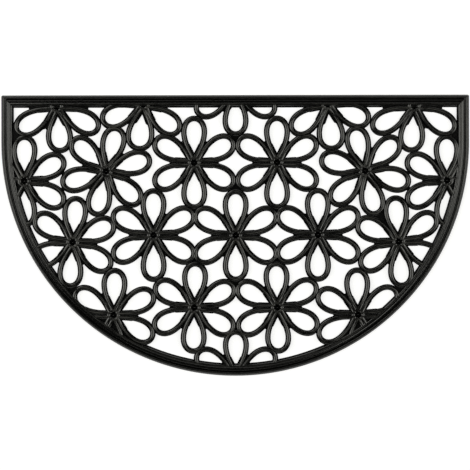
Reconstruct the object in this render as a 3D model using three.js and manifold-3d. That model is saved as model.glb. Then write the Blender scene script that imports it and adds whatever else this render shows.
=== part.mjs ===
// Half moon doormat, moulded in one piece from black rubber: an openwork of six-petalled flowers
// inside a ridged rim. Millimetres, +Z up. The origin is on the floor, at the middle of the mat's
// 762 by 457 footprint. The straight edge, which goes to the door sill, is at +Y.
import * as THREE from "three";
import { mergeVertices } from "three/addons/utils/BufferGeometryUtils.js";
import Module from "manifold-3d";

const wasm = await Module();
wasm.setup();

// Outline: a half disc below a short straight-sided strip.
const WIDTH = 762;
const DEPTH = 457.2;
const RADIUS = WIDTH / 2;
const STRAIGHT_EDGE_Y = DEPTH / 2;
const ARC_CENTRE_Y = RADIUS - DEPTH / 2;
const ARC_STEPS = 34;

// Heights above the floor.
const THICKNESS = 9;
const WEB_HEIGHT = 3.5;
const PAST_FACE = 1; // how far the lattice's solids run below the floor before it cuts them
const MERGE_DISTANCE = 1e-4; // points of one solid that are nearer than this are one point

// Each petal is a loop of rib, a teardrop: its point stands off the flower's centre, and its
// tip is round.
const PETALS = 6;
const PETAL_STEP = 360 / PETALS; // degrees
const POINT_RADIUS = 6.6;
const PETAL_BREADTH = 21.8;
const LOOP_ANGLES = [0, 60, 92, 126, 161, 199, 234, 268, 300]; // degrees along the loop

// Ribs are wide at the foot, where neighbours close up into a web, and narrow at the crest.
const FOOT_HALF_WIDTH = 4.2;
const CREST_HALF_WIDTH = 1.7;

// The rim's section: how far in from the mat's edge, and how high, from the outer foot inwards.
const RIM_SECTION = [
  { inset: 0, height: 0 },
  { inset: 0, height: 6 },
  { inset: 2, height: THICKNESS },
  { inset: 5.2, height: THICKNESS },
  { inset: 7.4, height: 5.4 },
  { inset: 9.8, height: 8.4 },
  { inset: 12.2, height: 6 },
  { inset: 15, height: 8.2 },
  { inset: 19.5, height: 0 },
];
const LATTICE_EDGE_INSET = 15; // the lattice runs in under the rim's inner ridge and stops there

// Flowers of the left half and the middle. x and y place the centre, and turn is the first
// petal's direction in degrees. reach is how far a petal's rib runs out from the centre, and
// upright is the same for the second and fifth petals.
const FLOWERS = [
  { x: -290, y: 210, turn: 31.2, reach: 76, upright: 72 },
  { x: -150, y: 213.5, turn: 22.4, reach: 71.5, upright: 74 },
  { x: 0, y: 237, turn: 30, reach: 72, upright: 72 },
  { x: -67.5, y: 118.3, turn: 30, reach: 72.5, upright: 72.5 },
  { x: -211, y: 104.6, turn: 16.1, reach: 73.5, upright: 72 },
  { x: -344.3, y: 89, turn: 29.7, reach: 72.5, upright: 72 },
  { x: 0, y: 0, turn: 30, reach: 73, upright: 72 },
  { x: -133.9, y: 0, turn: 30, reach: 72.5, upright: 72.5 },
  { x: -265.7, y: -11, turn: 25.3, reach: 72.5, upright: 71.5 },
  { x: -67.8, y: -117.7, turn: 28.6, reach: 72.5, upright: 71.5 },
  { x: -199.1, y: -129.4, turn: 28.5, reach: 72.5, upright: 72.5 },
  { x: 0, y: -229, turn: 30, reach: 72, upright: 71.5 },
];

// Pads of web where ribs crowd together, on the left half and the middle. The last pad is on
// the right half alone.
const WEB_PADS = [
  { x: 0, y: 159, radius: 8 },
  { x: 0, y: 77, radius: 8 },
  { x: 0, y: -79, radius: 8 },
  { x: 0, y: -153, radius: 5 },
  { x: -68.5, y: 41, radius: 6 },
  { x: -68.5, y: -41.5, radius: 6.5 },
  { x: -359.5, y: 165, radius: 12 },
  { x: -352, y: 84.4, radius: 7 },
  { x: -328, y: 208, radius: 8 },
  { x: -240, y: 208, radius: 8.5 },
  { x: -267, y: -87, radius: 9 },
  { x: -208, y: -146, radius: 15 },
  { x: -183.5, y: -158, radius: 4 },
  { x: 238, y: 28, radius: 14 },
];
const PAD_STEPS = 8;

// One closed loop round the mat, a given way in from its edge, anticlockwise from above.
function outlineLoop(inset) {
  const radius = RADIUS - inset;
  const points = [new THREE.Vector2(radius, STRAIGHT_EDGE_Y - inset)];
  points.push(new THREE.Vector2(-radius, STRAIGHT_EDGE_Y - inset));
  for (let step = 0; step <= ARC_STEPS; step += 1) {
    const angle = Math.PI * (1 + step / ARC_STEPS);
    points.push(
      new THREE.Vector2(radius * Math.cos(angle), ARC_CENTRE_Y + radius * Math.sin(angle)),
    );
  }
  return points;
}

// A petal's centre line, from its point, round its tip and back.
function petalLoop(reach, direction, centre) {
  return LOOP_ANGLES.map((degrees) => {
    const angle = THREE.MathUtils.degToRad(degrees);
    const along = POINT_RADIUS + ((reach - POINT_RADIUS) * (1 - Math.cos(angle))) / 2;
    const across = -PETAL_BREADTH * Math.sin(angle) * Math.sin(angle / 2);
    const point = new THREE.Vector2(along, across);
    return point.rotateAround(new THREE.Vector2(0, 0), direction).add(centre);
  });
}

// The loop moved sideways, with mitred corners: a positive distance moves it inwards.
function offsetLoop(points, distance) {
  return points.map((point, index) => {
    const before = points[(index + points.length - 1) % points.length];
    const after = points[(index + 1) % points.length];
    const arriving = point.clone().sub(before).normalize();
    const leaving = after.clone().sub(point).normalize();
    const mitre = new THREE.Vector2(-arriving.y - leaving.y, arriving.x + leaving.x).normalize();
    const stretch = distance / (mitre.x * -arriving.y + mitre.y * arriving.x);
    return point.clone().add(mitre.multiplyScalar(stretch));
  });
}

// A closed ring whose section's corners are loops with the same number of points.
function ringGeometry(loops) {
  const count = loops[0].points.length;
  const positions = loops.flatMap((loop) =>
    loop.points.flatMap((point) => [point.x, point.y, loop.height]),
  );
  const triangles = [];
  loops.forEach((loop, ring) => {
    const nextRing = (ring + 1) % loops.length;
    for (let index = 0; index < count; index += 1) {
      const next = (index + 1) % count;
      const [a, b] = [ring * count + index, ring * count + next];
      const [c, d] = [nextRing * count + next, nextRing * count + index];
      triangles.push(a, b, c, a, c, d);
    }
  });
  const geometry = new THREE.BufferGeometry();
  geometry.setAttribute("position", new THREE.Float32BufferAttribute(positions, 3));
  geometry.setIndex(triangles);
  return geometry;
}

// A flat plate with the given outline, between two heights.
function plateGeometry(points, bottom, top) {
  const settings = { depth: top - bottom, bevelEnabled: false, steps: 1 };
  return new THREE.ExtrudeGeometry(new THREE.Shape(points), settings).translate(0, 0, bottom);
}

// Makes a closed geometry into a solid that can be joined and cut.
function toSolid(geometry) {
  const bare = geometry.clone();
  bare.deleteAttribute("normal");
  bare.deleteAttribute("uv");
  const merged = mergeVertices(bare, MERGE_DISTANCE);
  return new wasm.Manifold(
    new wasm.Mesh({
      numProp: 3,
      vertProperties: new Float32Array(merged.attributes.position.array),
      triVerts: new Uint32Array(merged.index.array),
    }),
  );
}

// Makes a solid back into a geometry.
function toGeometry(solid) {
  const mesh = solid.getMesh();
  const geometry = new THREE.BufferGeometry();
  geometry.setAttribute("position", new THREE.Float32BufferAttribute(mesh.vertProperties, 3));
  geometry.setIndex(Array.from(mesh.triVerts));
  return geometry;
}

// Joins solids in pairs, so that no single join is a large one.
function joinAll(solids) {
  let left = solids;
  while (left.length > 1) {
    const pairs = [];
    for (let index = 0; index < left.length; index += 2) {
      pairs.push(index + 1 < left.length ? left[index].add(left[index + 1]) : left[index]);
    }
    left = pairs;
  }
  return left[0];
}

// The petal's rib: its sides slope from the foot to the crest, and run on below the floor.
function petalGeometry(reach, direction, centre) {
  const slope = (FOOT_HALF_WIDTH - CREST_HALF_WIDTH) / THICKNESS;
  const foot = FOOT_HALF_WIDTH + slope * PAST_FACE;
  const loop = petalLoop(reach, direction, centre);
  return ringGeometry([
    { points: offsetLoop(loop, -foot), height: -PAST_FACE },
    { points: offsetLoop(loop, -CREST_HALF_WIDTH), height: THICKNESS },
    { points: offsetLoop(loop, CREST_HALF_WIDTH), height: THICKNESS },
    { points: offsetLoop(loop, foot), height: -PAST_FACE },
  ]);
}

function padGeometry({ x, y, radius }) {
  const points = Array.from({ length: PAD_STEPS }, (_, step) => {
    const angle = (2 * Math.PI * (step + 0.5)) / PAD_STEPS;
    return new THREE.Vector2(x + radius * Math.cos(angle), y + radius * Math.sin(angle));
  });
  return plateGeometry(points, -PAST_FACE, WEB_HEIGHT);
}

// Every row of the left half has a mirrored twin on the right, where petals run the other way.
function withMirrored(rows) {
  return rows.flatMap((row) => {
    const twin = { ...row, x: -row.x, turn: -row.turn, petalStep: -PETAL_STEP };
    return row.x < 0 ? [row, twin] : [row];
  });
}

// True where a petal's middle lies inside the mat, so that its rib shows.
function isInside(point) {
  const fromArcCentre = Math.hypot(point.x, Math.min(point.y - ARC_CENTRE_Y, 0));
  return point.y < STRAIGHT_EDGE_Y && fromArcCentre < RADIUS;
}

function flowerSolids({ x, y, turn, reach, upright, petalStep = PETAL_STEP }) {
  const centre = new THREE.Vector2(x, y);
  const solids = [];
  for (let petal = 0; petal < PETALS; petal += 1) {
    const direction = THREE.MathUtils.degToRad(turn + petal * petalStep);
    const length = petal % 3 === 1 ? upright : reach;
    const outward = new THREE.Vector2(Math.cos(direction), Math.sin(direction));
    if (isInside(centre.clone().addScaledVector(outward, length / 2))) {
      solids.push(toSolid(petalGeometry(length, direction, centre)));
    }
  }
  return solids;
}

function latticeSolid() {
  const flowers = withMirrored(FLOWERS).flatMap(flowerSolids);
  const pads = withMirrored(WEB_PADS).map((pad) => toSolid(padGeometry(pad)));
  const window = plateGeometry(outlineLoop(LATTICE_EDGE_INSET), 0, THICKNESS);
  return joinAll([...flowers, ...pads]).intersect(toSolid(window));
}

function rimSolid() {
  const loops = RIM_SECTION.map(({ inset, height }) => ({ points: outlineLoop(inset), height }));
  return toSolid(ringGeometry(loops));
}

const rubber = new THREE.MeshStandardMaterial({ color: 0x1d1d1b, roughness: 0.55, metalness: 0 });
const mat = new THREE.Mesh(toGeometry(rimSolid().add(latticeSolid())), rubber);
mat.name = "mat";

const doormat = new THREE.Group();
doormat.add(mat);

export default doormat;
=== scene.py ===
# Half moon doormat, moulded in one piece from black rubber: an openwork of six-petalled
# flowers inside a ridged rim. Metres, +Z up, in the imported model's own frame: the origin is on
# the floor at the middle of the mat, and the straight edge is at +Y.
import math
from collections import namedtuple

import bmesh
import bpy
from mathutils import Matrix, Vector


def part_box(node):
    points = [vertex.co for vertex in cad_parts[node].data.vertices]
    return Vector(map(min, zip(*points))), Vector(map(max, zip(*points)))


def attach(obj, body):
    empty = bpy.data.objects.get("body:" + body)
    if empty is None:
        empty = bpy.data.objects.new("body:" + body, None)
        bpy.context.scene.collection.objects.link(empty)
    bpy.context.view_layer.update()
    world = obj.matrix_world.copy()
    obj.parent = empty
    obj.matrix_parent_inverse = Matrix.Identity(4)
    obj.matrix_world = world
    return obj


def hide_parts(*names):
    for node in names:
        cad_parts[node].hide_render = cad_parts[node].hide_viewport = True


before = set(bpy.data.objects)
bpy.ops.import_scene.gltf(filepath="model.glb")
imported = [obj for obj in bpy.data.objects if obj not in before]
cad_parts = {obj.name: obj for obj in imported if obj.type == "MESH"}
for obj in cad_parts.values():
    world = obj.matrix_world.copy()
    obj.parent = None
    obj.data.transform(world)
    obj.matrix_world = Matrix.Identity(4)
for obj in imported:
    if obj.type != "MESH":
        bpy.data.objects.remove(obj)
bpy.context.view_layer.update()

# Rim
# Round a half disc with a short strip above it, the mould forms a high round bead, then a narrow
# ridge and a broader one, with a groove before each. Inside them a low flange carries the
# pattern. The mat's sizes are in millimetres.
MM = 0.001
mat_low, mat_high = (Vector(corner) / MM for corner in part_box("mat"))
RADIUS = mat_high.x
STRAIGHT_EDGE_Y = mat_high.y
ARC_CENTRE_Y = mat_low.y + RADIUS
THICKNESS = mat_high.z
WEB_HEIGHT = 3.4
FLANGE_EDGE_ROUND = 0.5
ARC_STEPS = 180
CORNER_RADIUS = 2.5
TIGHTEST_BEND = 0.2
CORNER_STEPS = 4

# How far in from the mat's edge, and how high, from the outer foot inwards
RIM_SECTION = [
    (0.0, 0.0),
    (0.0, 4.6),
    (0.5, 5.7),
    (1.2, 6.6),
    (2.0, 7.5),
    (2.7, 8.25),
    (3.1, 8.6),
    (3.5, 8.8),
    (3.9, 8.9),
    (4.5, 8.85),
    (4.9, 8.65),
    (5.2, 8.35),
    (6.4, 6.8),
    (6.9, 6.5),
    (7.5, 6.8),
    (8.7, 8.15),
    (9.2, 8.55),
    (9.6, 8.7),
    (10.4, 8.7),
    (10.8, 8.55),
    (11.3, 8.15),
    (11.8, 7.8),
    (12.2, 7.75),
    (12.6, 7.9),
    (13.2, 8.4),
    (13.6, 8.7),
    (14.1, 8.9),
    (15.4, 8.9),
    (16.2, 8.6),
    (17.0, 8.1),
    (17.5, 7.5),
    (17.9, 5.8),
    (18.1, WEB_HEIGHT),
    (19.8, WEB_HEIGHT),
    (20.3, WEB_HEIGHT - FLANGE_EDGE_ROUND),
    (20.3, 0.0),
]


def outline_loop(inset):
    """Points round the mat, a given way in from its edge, anticlockwise from above."""
    radius = RADIUS - inset
    top = STRAIGHT_EDGE_Y - inset
    bend = max(CORNER_RADIUS - inset, TIGHTEST_BEND)
    points = []
    for side, start in ((1, 0.0), (-1, math.pi / 2)):
        centre = Vector((side * (radius - bend), top - bend))
        for step in range(CORNER_STEPS + 1):
            angle = start + step * math.pi / 2 / CORNER_STEPS
            points.append(centre + Vector((math.cos(angle), math.sin(angle))) * bend)
    for step in range(ARC_STEPS + 1):
        angle = math.pi + step * math.pi / ARC_STEPS
        points.append(Vector((radius * math.cos(angle), ARC_CENTRE_Y + radius * math.sin(angle))))
    return points


def ring_mesh(name, loops):
    """A closed ring through loops of like point counts. Each is its points and their height."""
    count = len(loops[0][0])
    points = [Vector((p.x, p.y, height)) * MM for loop, height in loops for p in loop]
    faces = []
    for ring in range(len(loops)):
        here = ring * count
        there = (ring + 1) % len(loops) * count
        for index in range(count):
            after = (index + 1) % count
            faces.append((here + index, here + after, there + after, there + index))
    mesh = bpy.data.meshes.new(name)
    mesh.from_pydata(points, [], faces)
    return bpy.data.objects.new(name, mesh)


rim = ring_mesh("rim", [(outline_loop(inset), height) for inset, height in RIM_SECTION])

# Flowers
# Each petal is a loop of round-topped rib on a wider band of web. Six of them are moulded round
# each flower's heart, and those that would lie past the rim are left out.
PETALS = 6
PETAL_STEP = 360 / PETALS
UPRIGHT_PETALS = (1, 4)
POINT_RADIUS = 6.1
PETAL_BREADTH = 21.8
LOOP_STEPS = 36
STRAIGHT_UP_TO = 56
PAST_FACE = 1

# Half width and height of the rib's upright side and arched top, from the web to the crest
RIB_HALF_WIDTH = 2.9
RIB_TOP_SLOPES = (46, 36, 27, 19, 12, 5)
ARCH_RADIUS = RIB_HALF_WIDTH / math.sin(math.radians(RIB_TOP_SLOPES[0]))
RIB_PROFILE = [(RIB_HALF_WIDTH, WEB_HEIGHT)]
for degrees in RIB_TOP_SLOPES:
    slope = math.radians(degrees)
    drop = ARCH_RADIUS * (1 - math.cos(slope))
    RIB_PROFILE.append((ARCH_RADIUS * math.sin(slope), THICKNESS - drop))

# The same for the whole band: the web's edge, then the rib
BAND_HALF_WIDTH = 4.65
WEB_EDGE_ROUND = 0.6
BAND_SECTION = [
    (BAND_HALF_WIDTH, -PAST_FACE),
    (BAND_HALF_WIDTH, WEB_HEIGHT - WEB_EDGE_ROUND),
    (BAND_HALF_WIDTH - WEB_EDGE_ROUND, WEB_HEIGHT),
    *RIB_PROFILE,
]

# x and y place the centre. turn is the first petal's direction in degrees, and reach is how far
# a petal's rib runs out. The two upright petals have their own reach and half breadth, and lean
# off their even place in degrees. whole_hole is a petal whose hole also cuts the rim's flange.
# The left half's flowers have mirrored twins on the right.
Flower = namedtuple(
    "Flower",
    "x y turn reach upright_reach upright_breadth lean whole_hole",
    defaults=(PETAL_BREADTH, 0, None),
)
PATTERN_MIDDLE_X = 0.5
FLOWERS = [
    Flower(-291, 209.8, 31.2, 75.2, 71.4, upright_breadth=23, lean=3.6),
    Flower(-150, 213.5, 22.4, 71, 72.4, upright_breadth=24.8, lean=1.1),
    Flower(0, 236.6, 30, 71.5, 71.5),
    Flower(-67.5, 118.5, 30, 71.9, 72.2),
    Flower(-210.9, 104.8, 16.1, 73, 71.7),
    Flower(-344.3, 89, 29.7, 72.2, 71.6),
    Flower(0, 0, 30, 74, 71.6),
    Flower(-133.9, 0.7, 30, 73.6, 72.1),
    Flower(-265.5, -10.8, 25.3, 72.3, 71.4),
    Flower(-67.6, -117.3, 28.6, 72.1, 71.2),
    Flower(-199.1, -129.4, 28.5, 72.3, 72.5, whole_hole=2),
    Flower(0, -228.8, 30, 72, 71.5),
]


def petal_loop(reach, breadth, direction, centre):
    """A petal's centre line, from its point, round its tip and back."""
    turn = Matrix.Rotation(math.radians(direction), 2)
    span = 360 - 2 * STRAIGHT_UP_TO
    angles = [0] + [STRAIGHT_UP_TO + span * step / LOOP_STEPS for step in range(LOOP_STEPS + 1)]
    points = []
    for degrees in angles:
        angle = math.radians(degrees)
        along = POINT_RADIUS + (reach - POINT_RADIUS) * (1 - math.cos(angle)) / 2
        across = -breadth * math.sin(angle) * math.sin(angle / 2)
        points.append(turn @ Vector((along, across)) + centre)
    return points


def offset_loop(points, distance):
    """The loop moved sideways, with mitred corners: a positive distance moves it inwards."""
    moved = []
    for index, point in enumerate(points):
        arriving = (point - points[index - 1]).normalized()
        leaving = (points[(index + 1) % len(points)] - point).normalized()
        mitre = Vector((-arriving.y - leaving.y, arriving.x + leaving.x)).normalized()
        across = Vector((-arriving.y, arriving.x))
        moved.append(point + mitre * (distance / mitre.dot(across)))
    return moved


def with_mirrored(rows):
    """Each row with side 1, and each row of the left half again with side -1, for its twin."""
    for row in rows:
        yield 1, row
        if row.x < 0:
            yield -1, row


def is_inside(point):
    """True inside the mat's outline."""
    below_centre = min(point.y - ARC_CENTRE_Y, 0)
    return point.y < STRAIGHT_EDGE_Y and math.hypot(point.x, below_centre) < RADIUS


ribs = []
hearts = []
whole_holes = []
for side, flower in with_mirrored(FLOWERS):
    centre = Vector((side * flower.x + PATTERN_MIDDLE_X, flower.y))
    directions = [flower.turn + petal * PETAL_STEP for petal in range(PETALS)]
    for petal in UPRIGHT_PETALS:
        directions[petal] += flower.lean
    hearts.append((centre, sorted(side * direction for direction in directions)))
    for petal, direction in enumerate(directions):
        direction *= side
        is_upright = petal in UPRIGHT_PETALS
        reach = flower.upright_reach if is_upright else flower.reach
        breadth = flower.upright_breadth if is_upright else PETAL_BREADTH
        middle = centre + Matrix.Rotation(math.radians(direction), 2) @ Vector((reach / 2, 0))
        if is_inside(middle):
            loop = petal_loop(reach, breadth, direction, centre)
            outside = [(offset_loop(loop, -half), height) for half, height in BAND_SECTION]
            inside = [(offset_loop(loop, half), height) for half, height in reversed(BAND_SECTION)]
            ribs.append(ring_mesh("rib", outside + inside))
            if petal == flower.whole_hole:
                whole_holes.append(offset_loop(loop, BAND_HALF_WIDTH))

# Web
# The thin floor of the mould's pattern. It closes the narrow gaps between a flower's petals as a
# six-armed star, and pads of it fill in where ribs crowd together.
STAR_REACH = 43
STAR_FORK_RADIUS = 40
STAR_ARM_HALF_WIDTH = 3.2
STAR_NOTCH_RADIUS = 16.5
STAR_SHOULDER_RADIUS = 30
STAR_SHOULDER_HALF_WIDTH = 9.2
PAD_STEPS = 20

# The left half's pads have twins on the right, and one more stands on the right alone.
Pad = namedtuple("Pad", "x y radius")
WEB_PADS = [
    Pad(0, 158, 6),
    Pad(0, 78, 6),
    Pad(0, -79, 6),
    Pad(0, -153, 4.5),
    Pad(-67, 41, 6),
    Pad(-67, -40, 6),
    Pad(-359.5, 165, 11),
    Pad(-352, 84.4, 7),
    Pad(-330, 208, 7),
    Pad(-247, 208, 7.5),
    Pad(-267, -87, 9),
    Pad(-208, -146, 15),
    Pad(-183.5, -158, 4),
    Pad(-282.5, 103, 4),
    Pad(-281, 76, 4),
    Pad(238, 28, 12),
]


def plate(name, points, low, high):
    """A flat plate with the given outline, which runs anticlockwise from above."""
    count = len(points)
    corners = [Vector((p.x, p.y, height)) * MM for height in (low, high) for p in points]
    faces = [tuple(reversed(range(count))), tuple(range(count, 2 * count))]
    for index in range(count):
        after = (index + 1) % count
        faces.append((index, after, count + after, count + index))
    mesh = bpy.data.meshes.new(name)
    mesh.from_pydata(corners, [], faces)
    return bpy.data.objects.new(name, mesh)


def circle(centre, radius, steps):
    """Points round a circle, anticlockwise from above."""
    angles = [2 * math.pi * step / steps for step in range(steps)]
    return [centre + Vector((math.cos(a), math.sin(a))) * radius for a in angles]


def star_outline(centre, directions):
    """A star whose arms lie between the petals that point in these directions, in degrees."""
    points = []
    for petal, direction in enumerate(directions):
        axis = math.radians(direction)
        gap = math.radians((directions[(petal + 1) % PETALS] - direction) % 360)
        arm = axis + gap / 2
        outward = Vector((math.cos(arm), math.sin(arm)))
        sideways = Vector((-outward.y, outward.x))
        shoulder = sideways * STAR_SHOULDER_HALF_WIDTH * math.degrees(gap) / PETAL_STEP
        tine = sideways * STAR_ARM_HALF_WIDTH
        points.append(centre + Vector((math.cos(axis), math.sin(axis))) * STAR_NOTCH_RADIUS)
        points.append(centre + outward * STAR_SHOULDER_RADIUS - shoulder)
        points.append(centre + outward * STAR_REACH - tine)
        points.append(centre + outward * STAR_FORK_RADIUS)
        points.append(centre + outward * STAR_REACH + tine)
        points.append(centre + outward * STAR_SHOULDER_RADIUS + shoulder)
    return points


webs = []
for centre, directions in hearts:
    webs.append(plate("star", star_outline(centre, directions), -PAST_FACE, WEB_HEIGHT))
for side, pad in with_mirrored(WEB_PADS):
    centre = Vector((side * pad.x + PATTERN_MIDDLE_X, pad.y))
    webs.append(plate("pad", circle(centre, pad.radius, PAD_STEPS), -PAST_FACE, WEB_HEIGHT))

# Hearts
# A ring of the same rib round each flower's centre joins the petals' points. A pin of the mould
# leaves a deep dimple in it.
HEART_RADIUS = 8
HEART_STEPS = 32

# Radius and height of the dimple's wall, upwards
DIMPLE_SECTION = [
    (0.5, 0.8),
    (3.2, 2.8),
    (4.6, 6.0),
    (5.0, 8.0),
    (5.6, 8.9),
    (6.8, THICKNESS + PAST_FACE),
]


def round_solid(name, centre, section, steps):
    """A solid of round section, which widens upwards through the section's rows."""
    loops = [(circle(centre, radius, steps), height) for radius, height in section]
    solid = ring_mesh(name, loops)
    body = bmesh.new()
    body.from_mesh(solid.data)
    body.faces.ensure_lookup_table()
    bmesh.ops.delete(body, geom=body.faces[-steps:], context="FACES_ONLY")
    body.verts.ensure_lookup_table()
    body.faces.new(reversed(body.verts[:steps]))
    body.faces.new(body.verts[-steps:])
    body.to_mesh(solid.data)
    body.free()
    return solid


def heart_loop(centre, offset):
    """Points round a heart, a given way out from the middle of its rib."""
    return circle(centre, HEART_RADIUS + offset, HEART_STEPS)


rings = []
dimples = []
for centre, _ in hearts:
    outside = [(heart_loop(centre, half), height) for half, height in RIB_PROFILE]
    inside = [(heart_loop(centre, -half), height) for half, height in reversed(RIB_PROFILE)]
    rings.append(ring_mesh("heart", outside + inside))
    dimples.append(round_solid("dimple", centre, DIMPLE_SECTION, HEART_STEPS))

# Mat
# The rubber fills the whole mould in one shot, so rim, ribs and web are one solid. It is black
# with a fine uneven skin, glossy in the web and the grooves. The tops of the ribs and ridges are
# painted a lighter and duller grey in blotches: a painted highlight along the crests, partly also
# wear.
LATTICE_EDGE_INSET = 16.2
CUTTER_TOP = THICKNESS + PAST_FACE
SHARP_ANGLE = math.radians(38)
WEB_BLACK = (0.001, 0.001, 0.0009, 1)
# Painted highlight, partly also wear: the tops of the ribs and ridges get this lighter grey.
CREST_HIGHLIGHT_AND_WEAR_GREY = (0.034, 0.0335, 0.0305, 1)
WEB_ROUGHNESS = 0.22
CREST_ROUGHNESS = 0.38
HIGHLIGHT_AND_WEAR_STARTS_AT = 8.8
BLOTCH_SCALE = 45
BLOTCH_DETAIL = 4
BLOTCH_ROUGHNESS = 0.6
BLOTCH_FROM = 0.35
BLOTCH_TO = 0.65
FINE_GRAIN_SCALE = 1400
COARSE_GRAIN_SCALE = 320
GRAIN_DETAIL = 3
GRAIN_STRENGTH = 0.08
GRAIN_DEPTH = 0.3


def add_boolean(target, operation, *operands):
    """Joins or cuts the target with the operands, and gives the collection that holds them."""
    group = bpy.data.collections.new("operands")
    for operand in operands:
        group.objects.link(operand)
    modifier = target.modifiers.new(operation.lower(), "BOOLEAN")
    modifier.solver = "MANIFOLD"
    modifier.operation = operation
    modifier.operand_type = "COLLECTION"
    modifier.collection = group
    return group


lattice = ribs[0]
bpy.context.collection.objects.link(lattice)
window = plate("window", outline_loop(LATTICE_EDGE_INSET), 0, CUTTER_TOP)
hole_cutters = [plate("hole", outline, -PAST_FACE, CUTTER_TOP) for outline in whole_holes]
groups = [
    add_boolean(lattice, "UNION", *ribs[1:], *webs, *rings),
    add_boolean(lattice, "DIFFERENCE", *dimples),
    add_boolean(lattice, "INTERSECT", window),
    add_boolean(lattice, "UNION", rim),
    add_boolean(lattice, "DIFFERENCE", *hole_cutters),
]
joined = lattice.evaluated_get(bpy.context.evaluated_depsgraph_get())
mat_mesh = bpy.data.meshes.new_from_object(joined)
mat_mesh.name = "doormat"
for leftover in [window, rim, *ribs, *webs, *rings, *dimples, *hole_cutters]:
    bpy.data.objects.remove(leftover)
for group in groups:
    bpy.data.collections.remove(group)

mat_mesh.shade_smooth()
mat_mesh.set_sharp_from_angle(angle=SHARP_ANGLE)
doormat = bpy.data.objects.new("doormat", mat_mesh)
bpy.context.collection.objects.link(doormat)
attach(doormat, "root")
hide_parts("mat")


def new_group(name, inputs, output):
    """An empty shader node group of plain values, and its input and output nodes."""
    group = bpy.data.node_groups.new(name, "ShaderNodeTree")
    for socket in inputs:
        group.interface.new_socket(socket, in_out="INPUT", socket_type="NodeSocketFloat")
    group.interface.new_socket(output, in_out="OUTPUT", socket_type="NodeSocketFloat")
    return group, group.nodes.new("NodeGroupInput"), group.nodes.new("NodeGroupOutput")


def crest_highlight_and_wear_group():
    """A mask for the painted highlight on the tops, partly also wear: it rises from one height to
    another, broken up by blotches.
    """
    group, given, out = new_group("crest_highlight_and_wear", ["Low", "High", "Blotch"], "Mask")
    link = group.links.new
    place = group.nodes.new("ShaderNodeTexCoord")
    parts = group.nodes.new("ShaderNodeSeparateXYZ")
    link(place.outputs["Object"], parts.inputs["Vector"])
    rise = group.nodes.new("ShaderNodeMapRange")
    rise.interpolation_type = "SMOOTHSTEP"
    link(parts.outputs["Z"], rise.inputs["Value"])
    link(given.outputs["Low"], rise.inputs["From Min"])
    link(given.outputs["High"], rise.inputs["From Max"])
    noise = group.nodes.new("ShaderNodeTexNoise")
    noise.inputs["Detail"].default_value = BLOTCH_DETAIL
    noise.inputs["Roughness"].default_value = BLOTCH_ROUGHNESS
    link(place.outputs["Object"], noise.inputs["Vector"])
    link(given.outputs["Blotch"], noise.inputs["Scale"])
    spread = group.nodes.new("ShaderNodeMapRange")
    spread.inputs["From Min"].default_value = BLOTCH_FROM
    spread.inputs["From Max"].default_value = BLOTCH_TO
    link(noise.outputs["Fac"], spread.inputs["Value"])
    broken = group.nodes.new("ShaderNodeMath")
    broken.operation = "MULTIPLY"
    link(rise.outputs["Result"], broken.inputs[0])
    link(spread.outputs["Result"], broken.inputs[1])
    link(broken.outputs["Value"], out.inputs["Mask"])
    return group


def crumb_grain_group():
    """The fine uneven skin of moulded rubber crumb, as a height."""
    group, given, out = new_group("crumb_grain", ["Fine", "Coarse"], "Height")
    link = group.links.new
    place = group.nodes.new("ShaderNodeTexCoord")
    heights = []
    for size in ("Fine", "Coarse"):
        noise = group.nodes.new("ShaderNodeTexNoise")
        noise.inputs["Detail"].default_value = GRAIN_DETAIL
        link(place.outputs["Object"], noise.inputs["Vector"])
        link(given.outputs[size], noise.inputs["Scale"])
        heights.append(noise.outputs["Fac"])
    added = group.nodes.new("ShaderNodeMath")
    added.operation = "ADD"
    link(heights[0], added.inputs[0])
    link(heights[1], added.inputs[1])
    link(added.outputs["Value"], out.inputs["Height"])
    return group


rubber = bpy.data.materials.new("black_rubber")
rubber.use_nodes = True
nodes = rubber.node_tree.nodes
link = rubber.node_tree.links.new
shader = nodes["Principled BSDF"]
# A height mask paints the crests lighter grey in blotches: a painted highlight, partly also wear.
highlight_and_wear_node = nodes.new("ShaderNodeGroup")
highlight_and_wear_node.node_tree = crest_highlight_and_wear_group()
highlight_and_wear_node.inputs["Low"].default_value = HIGHLIGHT_AND_WEAR_STARTS_AT * MM
highlight_and_wear_node.inputs["High"].default_value = THICKNESS * MM
highlight_and_wear_node.inputs["Blotch"].default_value = BLOTCH_SCALE
colour = nodes.new("ShaderNodeMix")
colour.data_type = "RGBA"
colour.inputs["A"].default_value = WEB_BLACK
colour.inputs["B"].default_value = CREST_HIGHLIGHT_AND_WEAR_GREY
link(highlight_and_wear_node.outputs["Mask"], colour.inputs["Factor"])
link(colour.outputs["Result"], shader.inputs["Base Color"])
gloss = nodes.new("ShaderNodeMapRange")
gloss.inputs["To Min"].default_value = WEB_ROUGHNESS
gloss.inputs["To Max"].default_value = CREST_ROUGHNESS
link(highlight_and_wear_node.outputs["Mask"], gloss.inputs["Value"])
link(gloss.outputs["Result"], shader.inputs["Roughness"])
grain = nodes.new("ShaderNodeGroup")
grain.node_tree = crumb_grain_group()
grain.inputs["Fine"].default_value = FINE_GRAIN_SCALE
grain.inputs["Coarse"].default_value = COARSE_GRAIN_SCALE
bump = nodes.new("ShaderNodeBump")
bump.inputs["Strength"].default_value = GRAIN_STRENGTH
bump.inputs["Distance"].default_value = GRAIN_DEPTH * MM
link(grain.outputs["Height"], bump.inputs["Height"])
link(bump.outputs["Normal"], shader.inputs["Normal"])
mat_mesh.materials.clear()
mat_mesh.materials.append(rubber)

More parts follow.
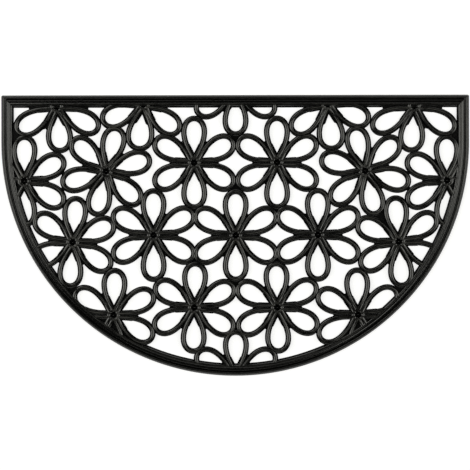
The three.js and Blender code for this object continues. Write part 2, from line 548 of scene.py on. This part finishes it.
# Floor
# A plain pale studio floor of matt paper. It glows a little, so that it stays as white round and
# through the mat as in the photo. Its size is in metres, as the lights' are.
FLOOR_HALF = 3.0
FLOOR_CORNERS = [(-1, -1), (1, -1), (1, 1), (-1, 1)]
FLOOR_GREY = (0.4, 0.4, 0.4, 1)
FLOOR_GLOW_WHITE = (1, 1, 1, 1)
FLOOR_GLOW = 0.74
FLOOR_ROUGHNESS = 0.9
FLOOR_SPECULAR = 0.1

floor_points = [(x * FLOOR_HALF, y * FLOOR_HALF, 0) for x, y in FLOOR_CORNERS]
floor_mesh = bpy.data.meshes.new("floor")
floor_mesh.from_pydata(floor_points, [], [(0, 1, 2, 3)])
floor = bpy.data.objects.new("floor", floor_mesh)
bpy.context.collection.objects.link(floor)
paper = bpy.data.materials.new("white_floor")
paper.use_nodes = True
paper_shader = paper.node_tree.nodes["Principled BSDF"]
paper_shader.inputs["Base Color"].default_value = FLOOR_GREY
paper_shader.inputs["Roughness"].default_value = FLOOR_ROUGHNESS
paper_shader.inputs["Specular IOR Level"].default_value = FLOOR_SPECULAR
paper_shader.inputs["Emission Color"].default_value = FLOOR_GLOW_WHITE
paper_shader.inputs["Emission Strength"].default_value = FLOOR_GLOW
floor_mesh.materials.append(paper)

# Lights
# Two big soft boxes hang high on the left and right of the mat, and a small one stands beyond its
# straight edge. Two low strips, beyond that edge and in front, light the slopes that face them.
SoftBox = namedtuple("SoftBox", "name place width height power")
LIGHTS = [
    SoftBox("left", (-2.7, 0.0, 2.8), 2.3, 3.0, 90),
    SoftBox("right", (2.7, 0.0, 2.8), 2.3, 3.0, 84),
    SoftBox("corner", (-0.9, 1.3, 0.8), 0.8, 0.6, 5.5),
    SoftBox("back", (0.0, 2.2, 0.45), 3.0, 0.6, 8),
    SoftBox("front", (0.0, -2.2, 0.45), 3.0, 0.6, 8),
]
LIGHT_COLOUR = (1.0, 1.0, 0.93)
WORLD_WHITE = (1, 1, 1, 1)
WORLD_STRENGTH = 0.01

for box in LIGHTS:
    light_data = bpy.data.lights.new(box.name, "AREA")
    light_data.shape = "RECTANGLE"
    light_data.size = box.width
    light_data.size_y = box.height
    light_data.energy = box.power
    light_data.color = LIGHT_COLOUR
    light = bpy.data.objects.new(box.name, light_data)
    light.location = box.place
    light.rotation_euler = (-Vector(box.place)).to_track_quat("-Z", "Y").to_euler()
    bpy.context.collection.objects.link(light)

world = bpy.data.worlds.new("studio")
world.use_nodes = True
background = world.node_tree.nodes["Background"]
background.inputs["Color"].default_value = WORLD_WHITE
background.inputs["Strength"].default_value = WORLD_STRENGTH
bpy.context.scene.world = world
bpy.context.scene.view_settings.view_transform = "Standard"

# Camera
# Straight down on the mat from far off, with a long lens, as the photo was taken. The place of
# the mat in the photo's 470 pixels gives the scale and the camera's place over the mat.
IMAGE_PIXELS = 470
LENS = 200
SENSOR = 36
PHOTO_MM_PER_PIXEL = 1.627
PHOTO_CENTRE_X = 235.4
PHOTO_STRAIGHT_EDGE_Y = 94.9
PHOTO_ROLL = math.radians(-0.1)

camera_data = bpy.data.cameras.new("camera")
camera_data.lens = LENS
camera_data.sensor_width = SENSOR
camera = bpy.data.objects.new("camera", camera_data)
view_width = IMAGE_PIXELS * PHOTO_MM_PER_PIXEL
camera_x = (IMAGE_PIXELS / 2 - PHOTO_CENTRE_X) * PHOTO_MM_PER_PIXEL
camera_y = STRAIGHT_EDGE_Y - (IMAGE_PIXELS / 2 - PHOTO_STRAIGHT_EDGE_Y) * PHOTO_MM_PER_PIXEL
camera_z = view_width * LENS / SENSOR + THICKNESS
camera.location = Vector((camera_x, camera_y, camera_z)) * MM
camera.rotation_euler.z = PHOTO_ROLL
bpy.context.collection.objects.link(camera)
bpy.context.scene.camera = camera
